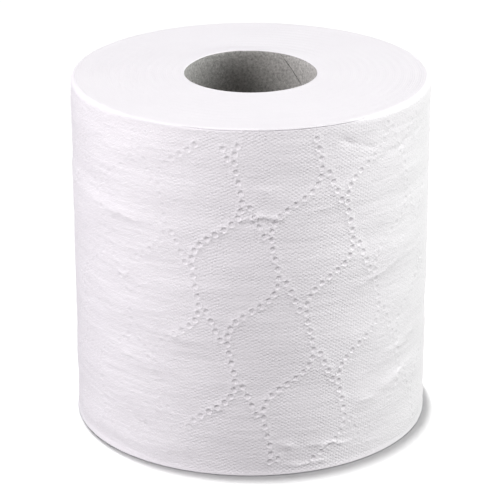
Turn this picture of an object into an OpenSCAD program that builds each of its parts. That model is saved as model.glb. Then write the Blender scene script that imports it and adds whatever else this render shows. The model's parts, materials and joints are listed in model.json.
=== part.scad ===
// Toilet paper roll: one long embossed paper web, wound on a cardboard core tube.
// The roll stands on its end. The origin is at the middle of its lower end face, with +Z along the core.
// The front faces -Y. Angles round the roll start at the front and grow towards +X, the right-hand side.

/* [Roll] */
// Outer diameter of the roll under its last turn
roll_d = 114; // [95:1:150]
// Height of the roll, which is the width of the web
roll_h = 114; // [85:1:130]
// Rounding of the outer rims, where the soft turns roll over
rim_r = 1.6; // [0.6:0.1:3]
// Angle at which the web's loose end lies, at the back of the roll
tail_angle = 150; // [90:5:270]

/* [Core tube] */
// Bore of the cardboard tube
bore_d = 42; // [36:0.5:50]
// Wall of the cardboard tube
core_wall = 0.8; // [0.5:0.1:1.5]
// How far the tube's ends lie inside the paper's end faces
core_recess = 0.6; // [0:0.1:2]
// Height that the butt seam of the board strip climbs in one turn
seam_lead = 123; // [80:1:200]
// Angle at which the seam meets the tube's upper end
seam_top_angle = 152; // [0:1:359]
// Width of the gap along the seam
seam_w = 0.5; // [0.3:0.1:1]
// Depth of the gap along the seam
seam_depth = 0.25; // [0.1:0.05:0.4]

/* [Paper web] */
// Thickness of the two-ply web, which is also the step at its loose end
web_t = 0.2; // [0.1:0.05:0.6]
// Distance between the turn lines that show on the end faces
turn_pitch = 2.8; // [1.6:0.1:6]
// Width of a turn line
turn_line_w = 0.5; // [0.2:0.1:1]
// Depth of a turn line
turn_line_depth = 0.4; // [0.1:0.1:1]

/* [Embossed dots] */
// Diameter of a dot
dot_d = 1.9; // [1:0.1:2.2]
// Depth of a dot
dot_depth = 0.3; // [0.15:0.05:0.5]
// Dots along one wave of a dot row
dots_per_wave = 14; // [10:1:16]
// Height of one wave of a dot row
wave_drop = 34.2; // [28:0.1:45]
// How far a dot row drifts to the left over one wave
wave_drift = 13.4; // [8:0.1:16]
// How far a wave swings out to the side
wave_swing = 3.9; // [2:0.1:5]
// How far a wave rises as it swings out
wave_lift = 1.7; // [0:0.1:2.5]
// Distance round the roll from one dot row to the next
row_step = 24.5; // [20:0.1:32]
// Height from one dot row to the next
row_rise = 9.5; // [4:0.1:14]
// Dots in a link between two neighbouring rows
link_dots = 4; // [2:1:5]

/* [Hidden] */

round_fn = 96;
dot_fn = 24;
half_turn = 180;
full_turn = 360;
front_angle = -90;

// Radii from the axis outwards
bore_r = bore_d / 2;
core_r = bore_r + core_wall;
roll_r = roll_d / 2;

// Seam of the core tube: a groove that follows a helix
core_h = roll_h - 2 * core_recess;
seam_run_out = 1;
seam_h = core_h + 2 * seam_run_out;
seam_twist = full_turn * seam_h / seam_lead;
seam_start_angle = seam_top_angle - full_turn * (core_h + seam_run_out) / seam_lead;
seam_slices = ceil(seam_twist / 6);
seam_overlap = 0.4;

// Turn lines: the first and last keep clear of the core and of the rounded rim
first_line_r = core_r + turn_pitch / 2;
line_count = floor((roll_r - rim_r - turn_line_w - first_line_r) / turn_pitch);

// Embossed dots: positions are [distance round the roll, height], unrolled on the outer wall
row_origin = [-1.9, 102.2];
wave_phase = 42;
dot_round_r = (pow(dot_d / 2, 2) + pow(dot_depth, 2)) / (2 * dot_depth);
wrap_length = PI * roll_d;
wrap_end = wrap_length * tail_angle / full_turn;
wrap_start = wrap_end - wrap_length;
dot_margin = dot_d;
link_start = [0.13 * wave_drift, -0.38 * wave_drop];
link_step = [0.106 * wave_drift, -0.09 * wave_drop];
row_span = ceil(wrap_length / row_step);
wave_span = ceil((roll_h + row_span * row_rise) / wave_drop);

// A point t waves down a dot row. The row drifts left as it falls, and swings from side to side.
function row_point(row, t) =
    row_origin + row * [row_step, row_rise] - t * [wave_drift, wave_drop]
    + cos(full_turn * t + wave_phase) * [-wave_swing, wave_lift];

// A dot of the short link that leaves a row towards its right-hand neighbour, once in each wave
function link_point(row, wave, i) =
    row_origin + row * [row_step, row_rise] - wave * [wave_drift, wave_drop]
    + link_start + i * link_step;

function on_wrap(p) =
    p[0] > wrap_start + dot_margin && p[0] < wrap_end - dot_margin
    && p[1] > rim_r + dot_margin && p[1] < roll_h - rim_r - dot_margin;

row_dots = [
    for (row = [-row_span : row_span], k = [-wave_span * dots_per_wave : wave_span * dots_per_wave])
        let (p = row_point(row, k / dots_per_wave))
        if (on_wrap(p)) p
];
link_dot_points = [
    for (row = [-row_span : row_span], wave = [-wave_span : wave_span], i = [0 : link_dots - 1])
        let (p = link_point(row, wave, i))
        if (on_wrap(p)) p
];

// Angle past the loose end, from 0 under it to a full turn at its edge
function angle_past_tail(p) = full_turn * (p[0] - wrap_start) / wrap_length;

// Radius of the outer wall, which grows by one web over the second half of the last turn
function wall_r(past_tail) =
    past_tail <= half_turn ? roll_r : roll_r + web_t / 2 * (1 + cos(past_tail));

// Half section of the winding out to radius r, with both outer corners rounded
module winding_section(r) {
    square([r - rim_r, roll_h]);
    translate([0, rim_r])
        square([r, roll_h - 2 * rim_r]);
    for (z = [rim_r, roll_h - rim_r])
        translate([r - rim_r, z])
            circle(r = rim_r, $fn = round_fn);
}

// The winding as a spiral of two centres. Its outer wall gains one web a turn and ends in the tail's step.
module spiral_body() {
    rotate_extrude(angle = half_turn, $fn = round_fn)
        winding_section(roll_r);
    translate([web_t / 2, 0, 0])
        rotate([0, 0, half_turn])
            rotate_extrude(angle = half_turn, $fn = round_fn)
                winding_section(roll_r + web_t / 2);
}

// V-shaped section of one turn line, with its mouth at height 0
module turn_line_section() {
    half_w = turn_line_w / 2;
    polygon([
        [-half_w, turn_line_depth],
        [-half_w, 0],
        [0, -turn_line_depth],
        [half_w, 0],
        [half_w, turn_line_depth],
    ]);
}

// One spiral line, made of half turns about two centres, as it shows on the upper end face
module turn_lines() {
    for (half = [0, 1])
        translate([half * turn_pitch / 2, 0, roll_h])
            rotate([0, 0, half * half_turn])
                rotate_extrude(angle = half_turn, $fn = round_fn)
                    for (i = [0 : line_count - 1])
                        translate([first_line_r + (i + half / 2) * turn_pitch, 0])
                            turn_line_section();
}

// A short round-bottomed scoop in the outer wall, as wide as it is high
module dot(p) {
    past_tail = angle_past_tail(p);
    rotate([0, 0, past_tail])
        translate([wall_r(past_tail) + dot_round_r - dot_depth, 0, p[1]])
            cylinder(r = dot_round_r, h = dot_d, center = true, $fn = dot_fn);
}

// The wound web: all its turns are one solid
module paper_winding() {
    color("whitesmoke")
        rotate([0, 0, tail_angle + front_angle])
            difference() {
                spiral_body();
                translate([0, 0, -roll_h / 2])
                    cylinder(r = core_r, h = 2 * roll_h, $fn = round_fn);
                turn_lines();
                translate([0, 0, roll_h])
                    mirror([0, 0, 1])
                        turn_lines();
                for (p = row_dots)
                    dot(p);
                for (p = link_dot_points)
                    dot(p);
            }
}

// The helical gap where the edges of the board strip meet, open to the bore and running out at both ends
module core_seam() {
    translate([0, 0, core_recess - seam_run_out])
        rotate([0, 0, seam_start_angle + front_angle])
            linear_extrude(height = seam_h, twist = -seam_twist, slices = seam_slices)
                translate([bore_r - seam_overlap, -seam_w / 2])
                    square([seam_overlap + seam_depth, seam_w]);
}

// Cardboard tube that the web is wound on
module core_tube() {
    color("darkgray")
        difference() {
            translate([0, 0, core_recess])
                cylinder(r = core_r, h = core_h, $fn = round_fn);
            translate([0, 0, -roll_h / 2])
                cylinder(r = bore_r, h = 2 * roll_h, $fn = round_fn);
            core_seam();
        }
}

core_tube();
paper_winding();
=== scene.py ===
import json
import math

import bmesh
import bpy
import numpy as np
from mathutils import Matrix, Vector
from mathutils.geometry import delaunay_2d_cdt
from mathutils.kdtree import KDTree


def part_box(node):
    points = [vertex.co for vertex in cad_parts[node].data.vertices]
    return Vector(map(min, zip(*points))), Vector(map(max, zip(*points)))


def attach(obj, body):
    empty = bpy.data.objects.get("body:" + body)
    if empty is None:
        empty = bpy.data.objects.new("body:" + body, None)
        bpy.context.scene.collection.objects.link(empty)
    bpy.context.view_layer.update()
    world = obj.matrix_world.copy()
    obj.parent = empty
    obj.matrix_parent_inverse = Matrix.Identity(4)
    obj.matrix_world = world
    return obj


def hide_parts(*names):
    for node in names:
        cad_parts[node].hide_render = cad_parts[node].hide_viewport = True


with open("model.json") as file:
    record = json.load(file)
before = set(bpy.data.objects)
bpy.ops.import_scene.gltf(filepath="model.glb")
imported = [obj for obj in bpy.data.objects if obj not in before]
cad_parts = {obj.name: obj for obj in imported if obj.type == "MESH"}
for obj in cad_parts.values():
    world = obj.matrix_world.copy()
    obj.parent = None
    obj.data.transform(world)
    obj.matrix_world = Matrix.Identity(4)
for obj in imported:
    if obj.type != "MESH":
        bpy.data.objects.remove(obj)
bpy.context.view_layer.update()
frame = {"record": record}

# Toilet paper roll: an embossed paper web, wound on a cardboard core tube and standing on its end.
# Lengths are in millimetres, which MM turns into scene units, and angles are in degrees.
# A place on the last turn, unrolled, is (s, z): s is the distance round the roll from its front towards
# the right, and z is the height.
MM = 0.001
FULL_TURN = 2 * math.pi

# Sizes read from the frame
paper_low, paper_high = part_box("paper_winding")
core_low, core_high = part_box("core_tube")
core_bore = next(m for m in frame["record"]["mounts"] if m["name"] == "core_bore")
ROLL_H = paper_high.z / MM
ROLL_R = -paper_low.x / MM
CORE_R = core_high.x / MM
CORE_BOTTOM = core_low.z / MM
CORE_TOP = core_high.z / MM
BORE_R = core_bore["dims"]["r_mm"]

# The last turn of the web, and its loose end at the back, which was torn off at a perforation
TAIL_ANGLE = 150
WEB_T = 0.2
WRAP_LENGTH = FULL_TURN * ROLL_R
WRAP_END = WRAP_LENGTH * TAIL_ANGLE / 360
WRAP_START = WRAP_END - WRAP_LENGTH
TAIL_LIFT = 0.15
TAIL_LIFT_LENGTH = 12
TOOTH_PITCH = 1.6
TOOTH_DEPTH = 0.35
TOOTH_REACH = 2.0

# Embossed dots, in wavy rows by the same rule as the solid's
DOT_R = 0.95
DOT_DEPTH = 0.30
DOT_LIP = 0.12
DOTS_PER_WAVE = 14
ROW_ORIGIN = np.array([-1.9, 102.2])
ROW_STEP = np.array([24.5, 9.5])
WAVE_FALL = np.array([13.4, 34.2])
WAVE_SWING = np.array([-3.9, 1.7])
WAVE_PHASE = math.radians(42)
LINK_DOTS = 4
LINK_START = WAVE_FALL * [0.13, -0.38]
LINK_STEP = WAVE_FALL * [0.106, -0.09]
DOT_MARGIN = 3.5
# Section of a dot, in shares of its radius: its flat bottom, the place and spread of its lip, and its reach
DOT_FLAT = 0.42
DOT_LIP_PLACE = 1.16
DOT_LIP_SPREAD = 0.18
DOT_REACH = 1.7
# Painted shade in a dot, in shares of its radius: it grows from the edge inwards, and is less in the middle.
# It stands in for the shade in the dent.
PAINTED_SHADE_EDGE = (1.0, 0.6)
PAINTED_SHADE_MIDDLE = (0.05, 0.4)
PAINTED_SHADE_LEAST = 0.35
# How far the dots' depth is uneven, and the limits of the random field for it
DOT_UNEVEN = 0.1
DOT_UNEVEN_LIMITS = (-1.5, 1.0)
# Stretches of the wall that are pressed flatter: (start, end, share of the depth that is lost)
PRESSED_FLAT = [(-86, -21, 0.80), (38, 86, 0.68)]
PRESSED_FADE = 9
# Spots that are pressed flatter, too: (s, z, radius, share of the depth that is lost)
PRESSED_SPOTS = [(-19, 6, 17, 0.75), (40, 8, 22, 0.65)]
# Share of a spot's radius within which it is pressed most
SPOT_MIDDLE = 0.4

# Soft outer rims, and the wall between them
RIM_IN = 1.6
RIM_DOWN = 2.0
WALL_LOW = RIM_DOWN
WALL_HIGH = ROLL_H - RIM_DOWN

# Mesh of the wall: its border, the grid in it, and how far points of one kind keep off the others
COLUMNS = 208
WALL_ROWS = 72
GRID_S = 1.75
GRID_Z = 1.5
GRID_STAGGER = (0.75, 1.25)
BORDER_CLEAR_S = 0.6
BORDER_CLEAR_Z = 0.5
DOT_CLEAR = 0.45
CREASE_CLEAR = 0.8
LAYOUT_TOLERANCE = 1e-6
# Rings of mesh points round a dot: (share of its radius, number of points)
DOT_RINGS = [(0.36, 7), (0.66, 10), (0.92, 12), (1.16, 12), (1.42, 10)]
# Mesh points of a crease: the step along it, their places across it in half widths, and the cell for each
CREASE_STEP = 1.4
CREASE_ACROSS = (-1.4, -0.7, 0.0, 0.7, 1.4)
CREASE_CELL = 0.5
# Edges sharper than this stay sharp, on either piece
SHARP_ANGLE = 58

# Creases of the outer turn: (start, end, half width, height), negative where the paper is pressed in
CREASES = [
    ((-6, 86.0), (12, 85.8), 0.75, 0.50),
    ((12, 85.8), (33, 88.3), 0.8, 0.14),
    ((-60, 82.5), (-32, 80.6), 0.55, 0.20),
    ((6, 10.4), (37, 7.6), 0.6, 0.28),
    ((9, 2.6), (26, 3.0), 0.6, 0.34),
    ((25, 110.0), (43, 102.8), 0.8, -0.26),
    ((42, 99.3), (72, 104.3), 0.9, -0.22),
    ((30, 17.8), (67, 27.1), 1.2, 0.22),
    ((36, 28.8), (69, 37.9), 1.1, 0.20),
    ((-26, 46.7), (-18, 43.0), 1.4, 0.22),
    ((-43, 14.9), (-33, 12.2), 0.6, -0.22),
    ((2, 95.7), (9, 93.6), 0.6, 0.16),
    ((-53, 63.5), (-30, 59.3), 0.6, 0.14),
    ((-58, 37.3), (-34, 34.0), 0.6, 0.12),
    ((30, 59.0), (61, 65.0), 0.9, 0.16),
    ((88, 70.0), (120, 76.0), 0.9, 0.22),
    ((-150, 40.0), (-118, 34.0), 0.8, 0.22),
    ((-120, 92.0), (-90, 88.0), 0.8, -0.20),
]
CREASE_WOBBLE = 0.4
CREASE_TAPER = (-0.05, 0.25, 0.75, 1.05)
# Height along a crease: its mean share, how far it varies, and its limits
CREASE_MEAN = 0.85
CREASE_VARIES = 0.35
CREASE_LIMITS = (0.2, 1.4)

# Slackness of the last turn, and fine ridges that run round it in patches. Both fade out to the rims.
SLACK_HEIGHT = 0.10
RIDGE_HEIGHT = 0.10
RIDGE_SPREAD = 0.22
RIDGE_PATCHES = (-0.4, 1.0)
SLACK_FADE = 6.0

# Section of the upper rim where the last turn's edge has slipped below the others and left a dark gap.
# Pairs are (distance in from the wall, distance down from the end face), from the wall to the end face.
SLIPPED_RIM = [
    (0.00, 2.00), (0.00, 1.40), (0.00, 0.95), (0.00, 0.66), (0.12, 0.58),
    (0.70, 0.50), (0.55, 0.36), (-0.20, 0.26), (-0.10, 0.04), (1.60, 0.00),
]
# Section beside it, where the turns' edges lie level and the corner is crisp
CRISP_RIM = [
    (0.00, 2.00), (0.00, 1.55), (0.00, 1.15), (0.00, 0.85), (0.01, 0.62),
    (0.03, 0.44), (0.06, 0.29), (0.12, 0.15), (0.28, 0.04), (1.60, 0.00),
]
# Section of the lower rim, where the roll stands on its edge and the last turn flares a little
FLARED_RIM = [
    (0.00, 2.00), (-0.05, 1.55), (-0.11, 1.15), (-0.16, 0.85), (-0.21, 0.62),
    (-0.24, 0.44), (-0.26, 0.29), (-0.24, 0.14), (-0.10, 0.03), (1.60, 0.00),
]
RIM_STEPS = len(SLIPPED_RIM) - 1
# Step of a rim from which its faces are cut edges
EDGE_STEP = 5
# Stretches of the upper rim that are crisp and slipped. The slip grows from its least share to the full one.
CRISP_STRETCH = (-56.0, -38.0, 32.0, 46.0)
SLIP_STRETCH = (-26.0, -8.0, 28.0, 42.0)
SLIP_GROWS = (-6.0, 8.0)
SLIP_LEAST = 0.6

# End faces: a spiral of turn lines, with the first line half a pitch outside the core, and a faint mottling
TURN_PITCH = 2.8
TURN_LINES = 11
FIRST_LINE = 0.5
TURN_LINE_DEPTH = 0.10
TURN_LINE_SPREAD = 0.42
TURN_LINE_REACH = 0.4
FACE_RINGS = 46
FACE_MOTTLE = 0.05
FACE_FADE = (0.0, 0.06, 0.94, 1.0)
MOTTLE_MOST = 2.5
# Inner lip of paper that lies over the core's end. Between the angles of LIP_OPEN it lies over it less.
LIP_R = BORE_R + 0.1
LIP_GAP = 0.6
LIP_OPEN = (186.5, 189.5, 208, 250)
LIP_UNEVEN = 0.02
LIP_EDGE = 0.15
LIP_ROUND = 0.3
LIP_DEPTH = 0.25
LIP_SLOPE = 0.02
# The back of the upper hole's edge stands a little higher, the core's end with it
RISE_HEIGHT = 0.8
RISE_WIDTH = 9

# Core tube: the butt seam climbs one turn in SEAM_LEAD
SEAM_LEAD = 123
SEAM_TOP_ANGLE = 152
SEAM_W = 0.5
SEAM_DEPTH = 0.25
SEAM_FLOOR = 0.6
SEAM_CLEAR = 0.3
CORE_EDGE = 0.15
CORE_COLUMNS = 110
CORE_ROWS = 60
# The tube's upper end shows almost flush with the paper in the photograph, so it stands higher here
CORE_LIFT = 0.3

# Random fields: (seed, number of waves, their length round the roll, their length up it)
DOT_FIELD = (13, 30, 45.0, 45.0)
CREASE_WOBBLE_FIELD = (17, 24, 9.0, 9.0)
CREASE_HEIGHT_FIELD = (19, 24, 8.0, 8.0)
SLACK_FIELD = (3, 40, 90.0, 24.0)
RIDGE_FIELD = (5, 48, 60.0, 11.0)
RIDGE_PATCH_FIELD = (8, 30, 60.0, 40.0)
LIP_FIELD = (21, 12, 30.0, 30.0)
FACE_FIELD = (31, 30, 30.0, 30.0)

# Material of the wall, on the unrolled web. A noise is (scale, detail, roughness), and a finish is
# (roughness, shine).
LATTICE_PITCH = 1.12
LATTICE_TILT = 55
LATTICE_ANGLE = 60
LATTICE_WEIGHTS = (1.0, 1.15, 0.85)
LATTICE_WARP_SCALE = 0.4
LATTICE_WARP_SIZE = 0.8
WIDE_PATCHES = (0.14, 2.0, 0.55)
FINE_PATCHES = (0.8, 2.0, 0.55)
PATCH_GAIN = 2.0
DENT_HEIGHT = 0.036
CRUMPLES = (1.0, 4.0, 0.65)
CRUMPLE_STRETCH = (0.42, 0.6, 1.0)
CRUMPLE_HEIGHT = 0.24
FIBRES = (2.2, 4.0, 0.65)
FIBRE_HEIGHT = 0.15
STREAKS = (1.0, 4.0, 0.6)
STREAK_STRETCH = (0.13, 1.0, 1.0)
STREAK_HEIGHT = 0.11
FOLDS = (1.0, 3.0, 0.5)
FOLD_STRETCH = (0.05, 0.30, 1.0)
FOLD_HEIGHT = 0.28
WALL_CLOUD = (0.06, 3.0, 0.6)
WALL_COLOURS = [(0.3, (0.865, 0.850, 0.866)), (0.7, (0.885, 0.872, 0.886))]
# Painted shade of the dots: how far their colour is darkened, from none to the most
PAINTED_DOT_SHADES = [(0.0, (1.0, 1.0, 1.0)), (1.0, (0.89, 0.89, 0.89))]
WALL_FINISH = (0.95, 0.15)

# Materials of the cut edges and of the board. Their noises have scales in 1 / metre.
RING_PITCH = 0.7
RING_DRIFT = 9.0
RING_DRIFT_NOISE = (60.0, 2.0, 0.55)
RING_HEIGHT = 0.012
EDGE_FIBRES = (900.0, 4.0, 0.6)
EDGE_FIBRE_HEIGHT = 0.10
EDGE_CLOUD = (45.0, 3.0, 0.6)
EDGE_COLOURS = [(0.3, (0.872, 0.860, 0.874)), (0.7, (0.888, 0.878, 0.890))]
EDGE_FINISH = (0.95, 0.12)
BOARD_FIBRES = (1300.0, 4.0, 0.75)
BOARD_FIBRE_HEIGHT = 0.10
BOARD_COLOURS = [
    (0.32, (0.270, 0.265, 0.257)),
    (0.50, (0.450, 0.441, 0.430)),
    (0.70, (0.640, 0.628, 0.613)),
]
BOARD_FINISH = (0.9, 0.2)

# The floor lies just under the roll. The camera sees it white but for the roll's shadow and a contact line
# of painted shade, drawn from ambient occlusion.
FLOOR_HALF = 3000
FLOOR_DROP = 0.05
FLOOR_WHITE = (0.9, 0.9, 0.9)
FLOOR_GREY = (0.17, 0.17, 0.17, 1.0)
FLOOR_FINISH = (1.0, 0.0)
SHADOW_GLOW = 0.18
CONTACT_REACH = 2.5
CONTACT_SAMPLES = 24
# Painted contact shade: the floor's ambient occlusion, turned into a darker colour next to the roll
PAINTED_CONTACT_SHADES = [(0.45, (0.88, 0.885, 0.90)), (0.90, (1.0, 1.0, 1.0))]

# Studio light. Lamps: (place in metres, sides in metres, power in watts, colour)
WHITE = (1.0, 1.0, 1.0, 1.0)
FILL_COLOUR = (1.0, 0.99, 1.0, 1.0)
FILL_STRENGTH = 0.02
LAMPS = {
    "left_lamp": ((-0.70, 0.02, 0.25), (0.50, 0.50), 3.5, (0.98, 0.945, 1.0)),
    "right_lamp": ((0.70, 0.05, 0.30), (0.50, 0.50), 5.8, (0.985, 1.0, 0.985)),
    "front_lamp": ((-0.14, -0.70, 0.35), (0.22, 0.22), 2.5, (1.0, 0.955, 1.0)),
    "back_lamp": ((0.0, 0.28, 0.38), (0.30, 0.30), 0.38, (0.97, 0.94, 1.0)),
    "relief_lamp": ((-0.14, -0.42, 0.72), (0.18, 0.18), 2.55, (1.0, 0.985, 1.0)),
    "bore_left_lamp": ((-0.52, -0.17, 0.41), (0.26, 0.26), 2.25, (1.0, 0.98, 0.96)),
    "bore_front_lamp": ((-0.08, -0.70, 0.12), (0.22, 0.22), 1.0, (1.0, 0.98, 0.96)),
    # High above the floor, which it alone lights, so the roll's one shadow is short and to the front right
    "floor_lamp": ((-0.088, 0.18, 6.0), (0.07, 0.32), 345, (1.0, 1.0, 1.0)),
}

# Camera, set on the photograph's view: the image is 500 pixels square
IMAGE_PX = 500
SENSOR = 36
LENS = 177.0
CAMERA_DISTANCE = 800
CAMERA_ELEVATION = 21.29
CAMERA_NEAR = 10
# Where the middle of the roll falls in the image, to the right of and above its centre, in pixels
MIDDLE_PX = (0.6, 10.5)


def smoothstep(low, high, x):
    t = np.clip((x - low) / (high - low), 0.0, 1.0)
    return t * t * (3.0 - 2.0 * t)


def plateau(x, corners):
    """Rises from 0 to 1 between the first two corners, and falls back to 0 between the last two."""
    foot_in, top_in, top_out, foot_out = corners
    return smoothstep(foot_in, top_in, x) * smoothstep(foot_out, top_out, x)


def on_roll(s, z, r):
    """Points in scene units at distance s round the roll, height z and radius r."""
    angle = s / ROLL_R
    return np.stack([r * np.sin(angle), -r * np.cos(angle), z + 0.0 * angle], axis=-1) * MM


def search_tree(centres):
    tree = KDTree(len(centres))
    for i, (s, z) in enumerate(centres):
        tree.insert((s, z, 0.0), i)
    tree.balance()
    return tree


def nearest(points, centres):
    """Distance from each point to the nearest of the centres."""
    tree = search_tree(centres)
    return np.array([tree.find((s, z, 0.0))[2] for s, z in points])


def wave_field(field, s, z):
    """Smooth random field of unit spread, made of waves of about the field's lengths."""
    seed, count, length_s, length_z = field
    draw = np.random.default_rng(seed)
    turn_s = draw.normal(0.0, FULL_TURN / length_s, count)
    turn_z = draw.normal(0.0, FULL_TURN / length_z, count)
    phase = draw.uniform(0.0, FULL_TURN, count)
    waves = [np.cos(a * s + b * z + c) for a, b, c in zip(turn_s, turn_z, phase)]
    return sum(waves) * math.sqrt(2.0 / count)


# Embossed dots

def dot_places():
    """Centres of the dots: wavy rows, with a short link to the next row in each wave."""
    rows = math.ceil(WRAP_LENGTH / ROW_STEP[0])
    waves = math.ceil((ROLL_H + rows * ROW_STEP[1]) / WAVE_FALL[1])
    along = np.arange(-waves * DOTS_PER_WAVE, waves * DOTS_PER_WAVE + 1)[:, None] / DOTS_PER_WAVE
    whole = np.arange(-waves, waves + 1)[:, None]
    places = []
    for row in range(-rows, rows + 1):
        start = ROW_ORIGIN + row * ROW_STEP
        places.append(start - along * WAVE_FALL + np.cos(FULL_TURN * along + WAVE_PHASE) * WAVE_SWING)
        for i in range(LINK_DOTS):
            places.append(start - whole * WAVE_FALL + LINK_START + i * LINK_STEP)
    places = np.concatenate(places)
    s, z = places.T
    inside = (s > WRAP_START + 2 * DOT_R) & (s < WRAP_END - 2 * DOT_R)
    inside &= (z > DOT_MARGIN) & (z < ROLL_H - DOT_MARGIN)
    return places[inside]


def crater(share):
    """Height of a dot's section at this share of its radius: a flat-bottomed dent with a faint lip."""
    dent = -DOT_DEPTH * (1.0 - smoothstep(DOT_FLAT, 1.0, share))
    lip = DOT_LIP * np.exp(-((share - DOT_LIP_PLACE) / DOT_LIP_SPREAD) ** 2)
    return np.where(share < DOT_REACH, dent + lip, 0.0)


def painted_dot_shade(share):
    """Painted shade of a dot at this share of its radius: its colour is darkened where the dent's shade
    would fall.
    """
    middle = PAINTED_SHADE_LEAST + (1.0 - PAINTED_SHADE_LEAST) * smoothstep(*PAINTED_SHADE_MIDDLE, share)
    return smoothstep(*PAINTED_SHADE_EDGE, share) * middle


def pressed_corners(start, end):
    """Corners of the plateau for a stretch that is pressed flatter."""
    return (start - PRESSED_FADE, start + PRESSED_FADE, end - PRESSED_FADE, end + PRESSED_FADE)


def dot_strength(s, z):
    """Share of a dot's full depth: uneven, and less where the wall is pressed flatter."""
    uneven = 1.0 - DOT_UNEVEN + DOT_UNEVEN * np.clip(wave_field(DOT_FIELD, s, z), *DOT_UNEVEN_LIMITS)
    pressed = 1.0
    for start, end, share in PRESSED_FLAT:
        pressed = pressed - share * plateau(s, pressed_corners(start, end))
    for spot_s, spot_z, radius, share in PRESSED_SPOTS:
        distance = np.hypot(s - spot_s, z - spot_z)
        pressed = pressed * (1.0 - share * smoothstep(radius, SPOT_MIDDLE * radius, distance))
    return uneven * pressed


def dot_ring_points(centres):
    """Mesh points on and round each dot. A ring's points that fall on a neighbouring dot are left out."""
    tree = search_tree(centres)
    points = [tuple(c) for c in centres]
    for i, (s, z) in enumerate(centres):
        for share, count in DOT_RINGS:
            radius = share * DOT_R
            for k in range(count):
                angle = FULL_TURN * (k + 0.5) / count
                p = (s + radius * math.cos(angle), z + radius * math.sin(angle))
                if tree.find((p[0], p[1], 0.0))[1] == i:
                    points.append(p)
    return points


# Outer wall of the paper

def tail_share(s):
    """How far the spiral has grown at s, from 0 to 1: it grows over the second half of the last turn."""
    past_tail = FULL_TURN * (s - WRAP_START) / WRAP_LENGTH
    return np.where(past_tail > math.pi, (1.0 + np.cos(past_tail)) / 2, 0.0)


def tail_growth(s):
    """The wall gains one web over the last turn, and its loose end lifts a little."""
    return WEB_T * tail_share(s) + TAIL_LIFT * smoothstep(WRAP_END - TAIL_LIFT_LENGTH, WRAP_END, s)


def crease_wobble(s, z):
    """How far a crease strays to the side at this place."""
    return CREASE_WOBBLE * wave_field(CREASE_WOBBLE_FIELD, s, z)


def crease_offset(s, z):
    offset = np.zeros_like(s)
    wobble = crease_wobble(s, z)
    uneven = CREASE_MEAN + CREASE_VARIES * wave_field(CREASE_HEIGHT_FIELD, s, z)
    uneven = np.clip(uneven, *CREASE_LIMITS)
    for (s0, z0), (s1, z1), half_width, height in CREASES:
        length = math.hypot(s1 - s0, z1 - z0)
        along = ((s - s0) * (s1 - s0) + (z - z0) * (z1 - z0)) / length**2
        across = ((s - s0) * (z1 - z0) - (z - z0) * (s1 - s0)) / length + wobble
        taper = plateau(along, CREASE_TAPER)
        offset += height * uneven * taper * np.exp(-((across / half_width) ** 2))
    return offset


def wrinkle_offset(s, z):
    """Broad slackness of the last turn, and fine ridges that run round it."""
    slack = SLACK_HEIGHT * wave_field(SLACK_FIELD, s, z)
    folds = wave_field(RIDGE_FIELD, s, z)
    patches = smoothstep(*RIDGE_PATCHES, wave_field(RIDGE_PATCH_FIELD, s, z))
    ridges = RIDGE_HEIGHT * patches * np.exp(-((folds / RIDGE_SPREAD) ** 2))
    return slack + ridges


def wall_offset(s, z):
    fade = plateau(z, (0.0, SLACK_FADE, ROLL_H - SLACK_FADE, ROLL_H))
    return tail_growth(s) + fade * wrinkle_offset(s, z) + crease_offset(s, z)


def tooth_shift(s, z):
    """Small teeth along the loose end and along the step under it."""
    tooth = np.abs((z / TOOTH_PITCH) % 1.0 - 0.5) * 2.0 * TOOTH_DEPTH
    at_end = smoothstep(WRAP_END - TOOTH_REACH, WRAP_END, s)
    at_start = smoothstep(WRAP_START + TOOTH_REACH, WRAP_START, s)
    return tooth * (at_end + at_start)


def crease_points():
    """Extra mesh points along and beside each crease."""
    points = []
    for (s0, z0), (s1, z1), half_width, _ in CREASES:
        length = math.hypot(s1 - s0, z1 - z0)
        side = np.array([-(z1 - z0), s1 - s0]) / length
        for along in np.linspace(0.0, 1.0, int(length / CREASE_STEP) + 2):
            middle = np.array([s0 + along * (s1 - s0), z0 + along * (z1 - z0)])
            middle = middle + side * crease_wobble(middle[0], middle[1])
            points += [tuple(middle + side * half_width * across) for across in CREASE_ACROSS]
    points = np.array(points)
    cells = np.unique(np.round(points / CREASE_CELL), axis=0, return_index=True)[1]
    return points[cells]


def grid_points():
    """A staggered grid inside the wall's border."""
    points = []
    rows = np.arange(WALL_LOW + GRID_Z, WALL_HIGH - GRID_Z / 2, GRID_Z)
    for i, z in enumerate(rows):
        start = WRAP_START + GRID_S * GRID_STAGGER[i % 2]
        points += [(s, z) for s in np.arange(start, WRAP_END - GRID_S / 2, GRID_S)]
    return np.array(points)


def inside_border(points):
    s, z = points.T
    inside = (s > WRAP_START + BORDER_CLEAR_S) & (s < WRAP_END - BORDER_CLEAR_S)
    inside &= (z > WALL_LOW + BORDER_CLEAR_Z) & (z < WALL_HIGH - BORDER_CLEAR_Z)
    return points[inside]


def wall_border():
    """The border's points: lower row, upper row, then the inner points of the start and end columns."""
    columns = np.linspace(WRAP_START, WRAP_END, COLUMNS + 1)
    heights = np.linspace(WALL_LOW, WALL_HIGH, WALL_ROWS + 1)[1:-1]
    lower = [(s, WALL_LOW) for s in columns]
    upper = [(s, WALL_HIGH) for s in columns]
    start = [(WRAP_START, z) for z in heights]
    end = [(WRAP_END, z) for z in heights]
    return lower + upper + start + end


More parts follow.
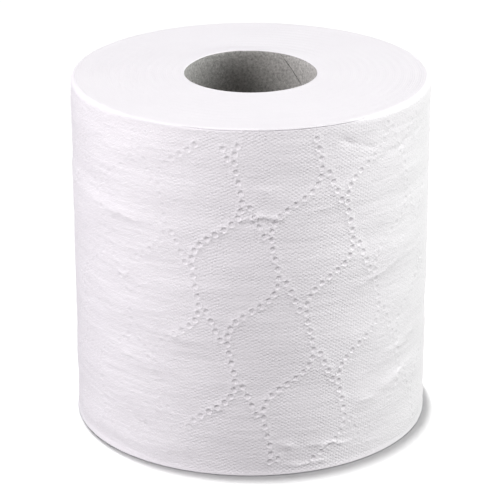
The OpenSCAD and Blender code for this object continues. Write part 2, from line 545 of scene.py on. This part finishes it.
def wall_layout(centres):
    """Points of the unrolled wall, with its border first, and the triangles between them."""
    keep_off = DOT_RINGS[-1][0] * DOT_R + DOT_CLEAR
    creases = inside_border(crease_points())
    creases = creases[nearest(creases, centres) > keep_off]
    grid = grid_points()
    grid = grid[nearest(grid, centres) > keep_off]
    grid = grid[nearest(grid, creases) > CREASE_CLEAR]
    points = wall_border() + dot_ring_points(centres) + creases.tolist() + grid.tolist()
    made = delaunay_2d_cdt([Vector(p) for p in points], [], [], 0, LAYOUT_TOLERANCE)
    if len(made[0]) != len(points):
        raise RuntimeError("two points of the wall's layout fall together")
    return np.array(points), [tuple(face) for face in made[2]]


# The whole winding

class Skin:
    """Vertices and faces of one closed mesh. On the paper, each vertex has its place on the unrolled web,
    and a third value that is the dots' painted shade.
    """

    def __init__(self):
        self.places = []
        self.web = []
        self.faces = []
        self.kinds = []

    def add(self, places, web=()):
        first = len(self.places)
        self.places += [tuple(p) for p in places]
        self.web += [tuple(w) for w in web]
        return list(range(first, len(self.places)))

    def bridge(self, row_a, row_b, kind):
        """Faces between two rows, with a triangle where two corners are the same vertex."""
        for quad in zip(row_a[:-1], row_a[1:], row_b[1:], row_b[:-1]):
            corners = tuple(dict.fromkeys(quad))
            if len(corners) > 2:
                self.faces.append(corners)
                self.kinds.append(kind)


# Kinds of face, by the place of their material on the paper. The board has one kind.
WALL_KIND, EDGE_KIND = 0, 1
BOARD_KIND = 0


def slip_share(s):
    """How far the last turn's upper edge has slipped, from 0 to 1: most at the front right."""
    growing = SLIP_LEAST + (1.0 - SLIP_LEAST) * smoothstep(*SLIP_GROWS, s)
    return plateau(s, SLIP_STRETCH) * growing


def rim_profile(step, section, crisp, slip):
    """(distance in, distance down) of one step of a rim: soft, or by this section, or slipped."""
    angle = math.pi / 2 * step / RIM_STEPS
    soft = (RIM_IN * (1.0 - math.cos(angle)), RIM_DOWN * (1.0 - math.sin(angle)))
    sections = zip(soft, section[step], SLIPPED_RIM[step])
    return [(1.0 - crisp) * a + crisp * ((1.0 - slip) * b + slip * c) for a, b, c in sections]


def rim_rows(skin, columns, row, up):
    """The rim at one end of the roll, from the wall's row inwards. Returns its last row."""
    wall_z = WALL_HIGH if up else WALL_LOW
    wall_r = ROLL_R + wall_offset(columns, np.full_like(columns, wall_z))
    section = CRISP_RIM if up else FLARED_RIM
    crisp = plateau(columns, CRISP_STRETCH) if up else np.ones_like(columns)
    slip = slip_share(columns) if up else np.zeros_like(columns)
    for step in range(1, RIM_STEPS):
        inset, drop = rim_profile(step, section, crisp, slip)
        r = wall_r + (ROLL_R - wall_r) * step / RIM_STEPS - inset
        z = ROLL_H - drop if up else drop
        made = skin.add(on_roll(columns, z, r), np.stack([columns, z, 0.0 * columns], axis=-1))
        closed = made + [made[0]]
        skin.bridge(row, closed, WALL_KIND if step < EDGE_STEP else EDGE_KIND)
        row = closed
    return row


def turn_line_drop(s, r):
    """Depth of the spiral turn lines on an end face."""
    turns = (r - CORE_R) / TURN_PITCH - FIRST_LINE - tail_share(s)
    off_line = (turns - np.round(turns)) * TURN_PITCH
    on_spiral = (turns > -TURN_LINE_REACH) & (turns < TURN_LINES - 1 + TURN_LINE_REACH)
    return np.where(on_spiral, TURN_LINE_DEPTH * np.exp(-((off_line / TURN_LINE_SPREAD) ** 2)), 0.0)


def mottle_drop(s, r, share):
    """Depth of the mottling at this share of the way in over an end face."""
    x, y = r * np.sin(s / ROLL_R), r * np.cos(s / ROLL_R)
    cloud = np.clip(1.0 + wave_field(FACE_FIELD, x, y), 0.0, MOTTLE_MOST)
    return plateau(share, FACE_FADE) * FACE_MOTTLE * cloud


def lip_radius(s):
    """Radius of the hole in the end face: the lip lies over the core's end, but less on one stretch."""
    open_share = plateau(np.degrees(s / ROLL_R) % 360, LIP_OPEN)
    uneven = np.abs(wave_field(LIP_FIELD, s, 0.0 * s))
    return LIP_R + LIP_GAP * open_share + LIP_UNEVEN * uneven


def edge_rise(angle):
    """How far the upper hole's edge is raised at this angle, which starts at the front."""
    return RISE_HEIGHT * np.clip(-np.cos(angle), 0.0, 1.0) ** 2


def face_sections(columns, up):
    """(radius, drop) of each row of an end face, from its rim inwards and round its lip to the core."""
    inner = lip_radius(columns)
    rise = edge_rise(columns / ROLL_R) if up else np.zeros_like(columns)
    sections = []
    for ring in range(FACE_RINGS + 1):
        share = ring / FACE_RINGS
        r = (ROLL_R - RIM_IN) * (1.0 - share) + (inner + LIP_EDGE) * share
        drop = turn_line_drop(columns, r) + mottle_drop(columns, r, share)
        sections.append((r, drop - rise * smoothstep(inner + RISE_WIDTH, inner + LIP_EDGE, r)))
    rounding = LIP_ROUND * LIP_EDGE
    return sections + [
        (inner + rounding, rounding - rise),
        (inner, LIP_EDGE - rise),
        (inner, LIP_DEPTH - rise),
        (np.full_like(inner, CORE_R), LIP_DEPTH + LIP_SLOPE - rise),
    ]


def face_row(skin, s, r, drop, up):
    """A closed row of vertices on an end face. Both ends of the last turn meet in its first vertex."""
    z = ROLL_H - drop if up else drop
    web = np.stack([s, ROLL_H + ROLL_R - r, 0.0 * s], axis=-1)
    row = skin.add(on_roll(s, z, r)[:-1], web[:-1])
    return row + [row[0], row[0]]


def end_face(skin, columns, wall_row, up):
    """Rim, end face and inner lip at one end of the roll. Returns the last row, where the core begins."""
    row = rim_rows(skin, columns, wall_row, up)
    for r, drop in face_sections(columns, up):
        made = face_row(skin, columns, r, drop, up)
        skin.bridge(row, made, EDGE_KIND)
        row = made
    return row


def paper_skin():
    centres = dot_places()
    layout, triangles = wall_layout(centres)
    s, z = layout.T
    depth = dot_strength(s, z)
    share = nearest(layout, centres) / DOT_R
    radius = ROLL_R + wall_offset(s, z) + depth * crater(share)
    # The third web value is the dots' painted shade, which darkens their colour in the wall's material
    web = np.stack([s, z, depth * painted_dot_shade(share)], axis=-1)
    skin = Skin()
    ids = skin.add(on_roll(s + tooth_shift(s, z), z, radius), web)
    skin.faces += triangles
    skin.kinds += [WALL_KIND] * len(triangles)
    cuts = np.cumsum([COLUMNS + 1, COLUMNS + 1, WALL_ROWS - 1, WALL_ROWS - 1])
    lower, upper, start, end = [part.tolist() for part in np.split(ids, cuts)[:-1]]
    skin.bridge([lower[-1]] + end + [upper[-1]], [lower[0]] + start + [upper[0]], WALL_KIND)
    columns = np.linspace(WRAP_START, WRAP_END, COLUMNS + 1)
    top = end_face(skin, columns, upper + [upper[0]], True)
    bottom = end_face(skin, columns, lower + [lower[0]], False)
    skin.bridge(top, bottom, EDGE_KIND)
    return skin


def piece_from(name, skin, materials):
    """An object from a closed skin, smooth but for its sharp edges. Its material reads the web places."""
    mesh = bpy.data.meshes.new(name)
    mesh.from_pydata(skin.places, [], skin.faces)
    for material in materials:
        mesh.materials.append(material)
    mesh.polygons.foreach_set("material_index", skin.kinds)
    if skin.web:
        web = mesh.attributes.new("web_place", "FLOAT_VECTOR", "POINT")
        web.data.foreach_set("vector", np.array(skin.web, dtype=np.float32).ravel())
    shape = bmesh.new()
    shape.from_mesh(mesh)
    bmesh.ops.recalc_face_normals(shape, faces=shape.faces)
    shape.to_mesh(mesh)
    shape.free()
    mesh.polygons.foreach_set("use_smooth", [True] * len(mesh.polygons))
    mesh.set_sharp_from_angle(angle=math.radians(SHARP_ANGLE))
    piece = bpy.data.objects.new(name, mesh)
    bpy.context.scene.collection.objects.link(piece)
    return piece


# Core tube

def core_columns():
    """(distance round the bore from the seam, depth of the seam there), across the board strip."""
    half = SEAM_W / 2
    floor = SEAM_FLOOR * half
    seam = [(-half, 0.0), (-floor, SEAM_DEPTH), (floor, SEAM_DEPTH), (half, 0.0)]
    around = FULL_TURN * BORE_R
    plain = np.linspace(half + SEAM_CLEAR, around - half - SEAM_CLEAR, CORE_COLUMNS)
    return np.array(seam + [(p, 0.0) for p in plain])


def core_skin():
    """The tube: rows follow its height, and columns follow the seam's helix."""
    offsets, depths = core_columns().T
    top = CORE_TOP + CORE_LIFT
    heights = np.linspace(CORE_BOTTOM + CORE_EDGE, top - CORE_EDGE, CORE_ROWS)
    skin = Skin()

    def row(r, z):
        angle = math.radians(SEAM_TOP_ANGLE) - FULL_TURN * (CORE_TOP - z) / SEAM_LEAD + offsets / BORE_R
        height = z + edge_rise(angle) * smoothstep(CORE_TOP - RISE_WIDTH, CORE_TOP, z)
        made = skin.add(np.stack([r * np.sin(angle), -r * np.cos(angle), height], axis=-1) * MM)
        return made + [made[0]]

    bore = BORE_R + depths
    rows = [row(bore, z) for z in heights]
    rows.append(row(bore + CORE_EDGE, top))
    rows.append(row(CORE_R - CORE_EDGE, top))
    rows += [row(CORE_R, z) for z in heights[::-1]]
    rows.append(row(CORE_R - CORE_EDGE, CORE_BOTTOM))
    rows.append(row(bore + CORE_EDGE, CORE_BOTTOM))
    for row_a, row_b in zip(rows, rows[1:] + rows[:1]):
        skin.bridge(row_a, row_b, BOARD_KIND)
    return skin


# Materials

def add_node(tree, kind, inputs=None, **properties):
    """A node with these properties. Each input is a constant, or the socket that it is linked to."""
    made = tree.nodes.new(kind)
    for name, value in properties.items():
        setattr(made, name, value)
    for name, value in (inputs or {}).items():
        if isinstance(value, bpy.types.NodeSocket):
            tree.links.new(value, made.inputs[name])
        else:
            made.inputs[name].default_value = value
    return made


def calc(tree, operation, a, b=0.0):
    return add_node(tree, "ShaderNodeMath", {0: a, 1: b}, operation=operation).outputs[0]


def new_material(name):
    material = bpy.data.materials.new(name)
    material.use_nodes = True
    tree = material.node_tree
    return material, tree, tree.nodes["Principled BSDF"]


def noise(tree, vector, pattern):
    """A noise of this (scale, detail, roughness)."""
    scale, detail, roughness = pattern
    inputs = {"Vector": vector, "Scale": scale, "Detail": detail, "Roughness": roughness}
    return add_node(tree, "ShaderNodeTexNoise", inputs).outputs["Fac"]


def ramp(tree, factor, stops):
    """A colour for each value of factor, from stops of (position, colour)."""
    made = add_node(tree, "ShaderNodeValToRGB", {"Fac": factor})
    elements = made.color_ramp.elements
    while len(elements) < len(stops):
        elements.new(0.5)
    for element, (position, colour) in zip(elements, stops):
        element.position = position
        element.color = (*colour, 1.0)
    return made.outputs["Color"]


def multiply(tree, colour, shade):
    """The colour, darkened by the shade."""
    made = add_node(tree, "ShaderNodeVectorMath", {0: colour, 1: shade}, operation="MULTIPLY")
    return made.outputs["Vector"]


def stretch(tree, vector, scale):
    inputs = {"Vector": vector, "Scale": scale}
    return add_node(tree, "ShaderNodeMapping", inputs, vector_type="POINT").outputs["Vector"]


def warped(tree, vector, scale, size):
    """The vector, pushed about by a noise of this scale and size."""
    push = add_node(tree, "ShaderNodeTexNoise", {"Vector": vector, "Scale": scale, "Detail": 1.0})
    inputs = {0: push.outputs["Color"], 1: (size, size, 0.0), 2: vector}
    return add_node(tree, "ShaderNodeVectorMath", inputs, operation="MULTIPLY_ADD").outputs["Vector"]


def lattice(tree, place):
    """A close hexagonal pattern of dents: three sets of waves at 60 degrees to one another."""
    turn = FULL_TURN / (LATTICE_PITCH * math.sin(math.radians(LATTICE_ANGLE)))
    waves = []
    for k, weight in enumerate(LATTICE_WEIGHTS):
        angle = math.radians(LATTICE_TILT + LATTICE_ANGLE * k)
        across = (turn * math.cos(angle), turn * math.sin(angle), 0.0)
        dot = add_node(tree, "ShaderNodeVectorMath", {0: place, 1: across}, operation="DOT_PRODUCT")
        waves.append((calc(tree, "COSINE", dot.outputs["Value"]), weight))
    return add_heights(tree, waves)


def add_heights(tree, parts):
    """Sum of (height field, size in millimetres)."""
    total = None
    for field, size in parts:
        part = calc(tree, "MULTIPLY", field, size)
        total = part if total is None else calc(tree, "ADD", total, part)
    return total


def set_bump(tree, shader, height):
    bump = add_node(tree, "ShaderNodeBump", {"Strength": 1.0, "Distance": MM, "Height": height})
    tree.links.new(bump.outputs["Normal"], shader.inputs["Normal"])


def matte(shader, finish):
    roughness, shine = finish
    shader.inputs["Roughness"].default_value = roughness
    shader.inputs["Specular IOR Level"].default_value = shine


def emboss_share(tree, s):
    """How much of the fine lattice is left at s: less where the wall is pressed flat."""
    along = calc(tree, "DIVIDE", calc(tree, "SUBTRACT", s, WRAP_START), WRAP_LENGTH)
    full = (1.0, 1.0, 1.0)
    stops = []
    for start, end, share in PRESSED_FLAT:
        left = (1.0 - share,) * 3
        for place, colour in zip(pressed_corners(start, end), (full, left, left, full)):
            stops.append(((place - WRAP_START) / WRAP_LENGTH, colour))
    return ramp(tree, along, stops)


def paper_wall_material():
    """Soft two-ply tissue: a fine lattice of dents, fibres, and small wrinkles that run round the roll, with
    painted shade in the embossed dots.
    """
    material, tree, shader = new_material("embossed_tissue")
    place = add_node(tree, "ShaderNodeAttribute", attribute_name="web_place").outputs["Vector"]
    flat = stretch(tree, place, (1.0, 1.0, 0.0))
    web = add_node(tree, "ShaderNodeSeparateXYZ", {"Vector": place}).outputs
    embossed = emboss_share(tree, web["X"])
    patches = calc(tree, "MULTIPLY", noise(tree, flat, WIDE_PATCHES), embossed)
    patches = calc(tree, "MULTIPLY", patches, PATCH_GAIN)
    patches = calc(tree, "MULTIPLY", noise(tree, flat, FINE_PATCHES), patches)
    dents = lattice(tree, warped(tree, flat, LATTICE_WARP_SCALE, LATTICE_WARP_SIZE))
    dents = calc(tree, "MULTIPLY", dents, patches)
    crumples = noise(tree, stretch(tree, flat, CRUMPLE_STRETCH), CRUMPLES)
    crumples = calc(tree, "MULTIPLY", crumples, calc(tree, "SUBTRACT", 1.0, embossed))
    fibres = noise(tree, flat, FIBRES)
    streaks = noise(tree, stretch(tree, flat, STREAK_STRETCH), STREAKS)
    folds = noise(tree, stretch(tree, flat, FOLD_STRETCH), FOLDS)
    set_bump(tree, shader, add_heights(tree, [
        (dents, DENT_HEIGHT),
        (crumples, CRUMPLE_HEIGHT),
        (fibres, FIBRE_HEIGHT),
        (streaks, STREAK_HEIGHT),
        (folds, FOLD_HEIGHT),
    ]))
    colour = ramp(tree, noise(tree, flat, WALL_CLOUD), WALL_COLOURS)
    # Painted shade in the dots, read from the web's third value
    shade = ramp(tree, web["Z"], PAINTED_DOT_SHADES)
    tree.links.new(multiply(tree, colour, shade), shader.inputs["Base Color"])
    matte(shader, WALL_FINISH)
    return material


def paper_edge_material():
    """The cut edges of the turns: fine rings and a faint mottling."""
    material, tree, shader = new_material("tissue_edges")
    place = add_node(tree, "ShaderNodeTexCoord").outputs["Object"]
    flat = stretch(tree, place, (1.0, 1.0, 0.0))
    radius = add_node(tree, "ShaderNodeVectorMath", {0: flat}, operation="LENGTH").outputs["Value"]
    drift = calc(tree, "MULTIPLY", noise(tree, place, RING_DRIFT_NOISE), RING_DRIFT)
    turns = calc(tree, "MULTIPLY", radius, FULL_TURN / (RING_PITCH * MM))
    rings = calc(tree, "SINE", calc(tree, "ADD", turns, drift))
    fibres = noise(tree, place, EDGE_FIBRES)
    set_bump(tree, shader, add_heights(tree, [(rings, RING_HEIGHT), (fibres, EDGE_FIBRE_HEIGHT)]))
    colour = ramp(tree, noise(tree, place, EDGE_CLOUD), EDGE_COLOURS)
    tree.links.new(colour, shader.inputs["Base Color"])
    matte(shader, EDGE_FINISH)
    return material


def greyboard_material():
    """Grey recycled board: light and dark fibres in a mid grey."""
    material, tree, shader = new_material("greyboard")
    place = add_node(tree, "ShaderNodeTexCoord").outputs["Object"]
    fibres = noise(tree, place, BOARD_FIBRES)
    tree.links.new(ramp(tree, fibres, BOARD_COLOURS), shader.inputs["Base Color"])
    set_bump(tree, shader, add_heights(tree, [(fibres, BOARD_FIBRE_HEIGHT)]))
    matte(shader, BOARD_FINISH)
    return material


def show_camera(tree, output, shown, plain):
    """Give the output one shader for what the camera sees, and the plain one for all other light."""
    path = add_node(tree, "ShaderNodeLightPath").outputs
    seen = calc(tree, "MAXIMUM", path["Is Camera Ray"], path["Is Glossy Ray"])
    seen = calc(tree, "MAXIMUM", seen, path["Is Transmission Ray"])
    mix = add_node(tree, "ShaderNodeMixShader", {0: seen, 1: plain, 2: shown})
    tree.links.new(mix.outputs["Shader"], tree.nodes[output].inputs["Surface"])


def floor_material():
    """White to the camera but for the shadow and a contact line of painted shade from ambient occlusion, and
    grey to all other light.
    """
    material, tree, shader = new_material("pale_floor")
    contact = add_node(
        tree, "ShaderNodeAmbientOcclusion", {"Distance": CONTACT_REACH * MM}, samples=CONTACT_SAMPLES
    )
    # The contact line is painted shade: ambient occlusion darkens the floor's colour and its glow next to
    # the roll
    painted_contact_shade = ramp(tree, contact.outputs["AO"], PAINTED_CONTACT_SHADES)
    lit = add_node(tree, "ShaderNodeBsdfDiffuse", {"Color": multiply(tree, painted_contact_shade, FLOOR_WHITE)})
    glow = add_node(tree, "ShaderNodeEmission", {"Color": painted_contact_shade, "Strength": SHADOW_GLOW})
    white = add_node(tree, "ShaderNodeAddShader", {0: lit.outputs["BSDF"], 1: glow.outputs["Emission"]})
    shader.inputs["Base Color"].default_value = FLOOR_GREY
    matte(shader, FLOOR_FINISH)
    show_camera(tree, "Material Output", white.outputs["Shader"], shader.outputs["BSDF"])
    return material


# Stage, light and camera

def add_floor():
    mesh = bpy.data.meshes.new("floor")
    corners = [(-1, -1), (1, -1), (1, 1), (-1, 1)]
    half = FLOOR_HALF * MM
    points = [(x * half, y * half, -FLOOR_DROP * MM) for x, y in corners]
    mesh.from_pydata(points, [], [(0, 1, 2, 3)])
    mesh.materials.append(floor_material())
    floor = bpy.data.objects.new("floor", mesh)
    bpy.context.scene.collection.objects.link(floor)
    return floor


def add_world():
    """White behind everything, and an even fill for all other light."""
    world = bpy.data.worlds.new("studio")
    bpy.context.scene.world = world
    world.use_nodes = True
    tree = world.node_tree
    fill = tree.nodes["Background"]
    fill.inputs["Color"].default_value = FILL_COLOUR
    fill.inputs["Strength"].default_value = FILL_STRENGTH
    white = add_node(tree, "ShaderNodeBackground", {"Color": WHITE, "Strength": 1.0})
    show_camera(tree, "World Output", white.outputs["Background"], fill.outputs["Background"])


def area_light(name, place, sides, power, colour):
    """A soft lamp that faces the middle of the roll."""
    lamp = bpy.data.lights.new(name, "AREA")
    lamp.shape = "RECTANGLE"
    lamp.size, lamp.size_y = sides
    lamp.energy = power
    lamp.color = colour
    light = bpy.data.objects.new(name, lamp)
    light.location = place
    aim = Vector((0.0, 0.0, ROLL_H / 2 * MM)) - light.location
    light.rotation_euler = aim.to_track_quat("-Z", "Y").to_euler()
    bpy.context.scene.collection.objects.link(light)
    return light


def light_only(name, pieces, lights):
    """Keep these lamps to these pieces."""
    group = bpy.data.collections.new(name)
    for piece in pieces:
        group.objects.link(piece)
    for light in lights:
        light.light_linking.receiver_collection = group


def add_lights(paper, core, floor):
    lights = {name: area_light(name, *values) for name, values in LAMPS.items()}
    groups = [
        ("roll_only", [paper, core], ["left_lamp", "right_lamp"]),
        ("paper_only", [paper], ["front_lamp", "back_lamp", "relief_lamp"]),
        ("core_only", [core], ["bore_left_lamp", "bore_front_lamp"]),
        ("floor_only", [floor], ["floor_lamp"]),
    ]
    for name, pieces, lamps in groups:
        light_only(name, pieces, [lights[lamp] for lamp in lamps])


def add_camera():
    """The photograph's view: a long lens, a little above the roll."""
    middle = Vector((0.0, 0.0, ROLL_H / 2 * MM))
    elevation = math.radians(CAMERA_ELEVATION)
    back = Vector((0.0, -math.cos(elevation), math.sin(elevation)))
    place = middle + back * CAMERA_DISTANCE * MM
    per_pixel = CAMERA_DISTANCE * MM * SENSOR / LENS / IMAGE_PX
    right = Vector((1.0, 0.0, 0.0))
    up = back.cross(right)
    aim = middle - (right * MIDDLE_PX[0] + up * MIDDLE_PX[1]) * per_pixel
    look = (aim - place).to_track_quat("-Z", "Y").to_matrix().to_4x4()
    data = bpy.data.cameras.new("camera")
    data.sensor_width = SENSOR
    data.lens = LENS
    data.clip_start = CAMERA_NEAR * MM
    camera = bpy.data.objects.new("camera", data)
    camera.matrix_world = Matrix.Translation(place) @ look
    bpy.context.scene.collection.objects.link(camera)
    bpy.context.scene.camera = camera


def main():
    paper = piece_from("paper_roll", paper_skin(), [paper_wall_material(), paper_edge_material()])
    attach(paper, "root")
    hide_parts("paper_winding")
    core = piece_from("cardboard_core", core_skin(), [greyboard_material()])
    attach(core, "root")
    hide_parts("core_tube")
    floor = add_floor()
    add_world()
    add_lights(paper, core, floor)
    add_camera()
    bpy.context.scene.view_settings.view_transform = "Standard"


main()
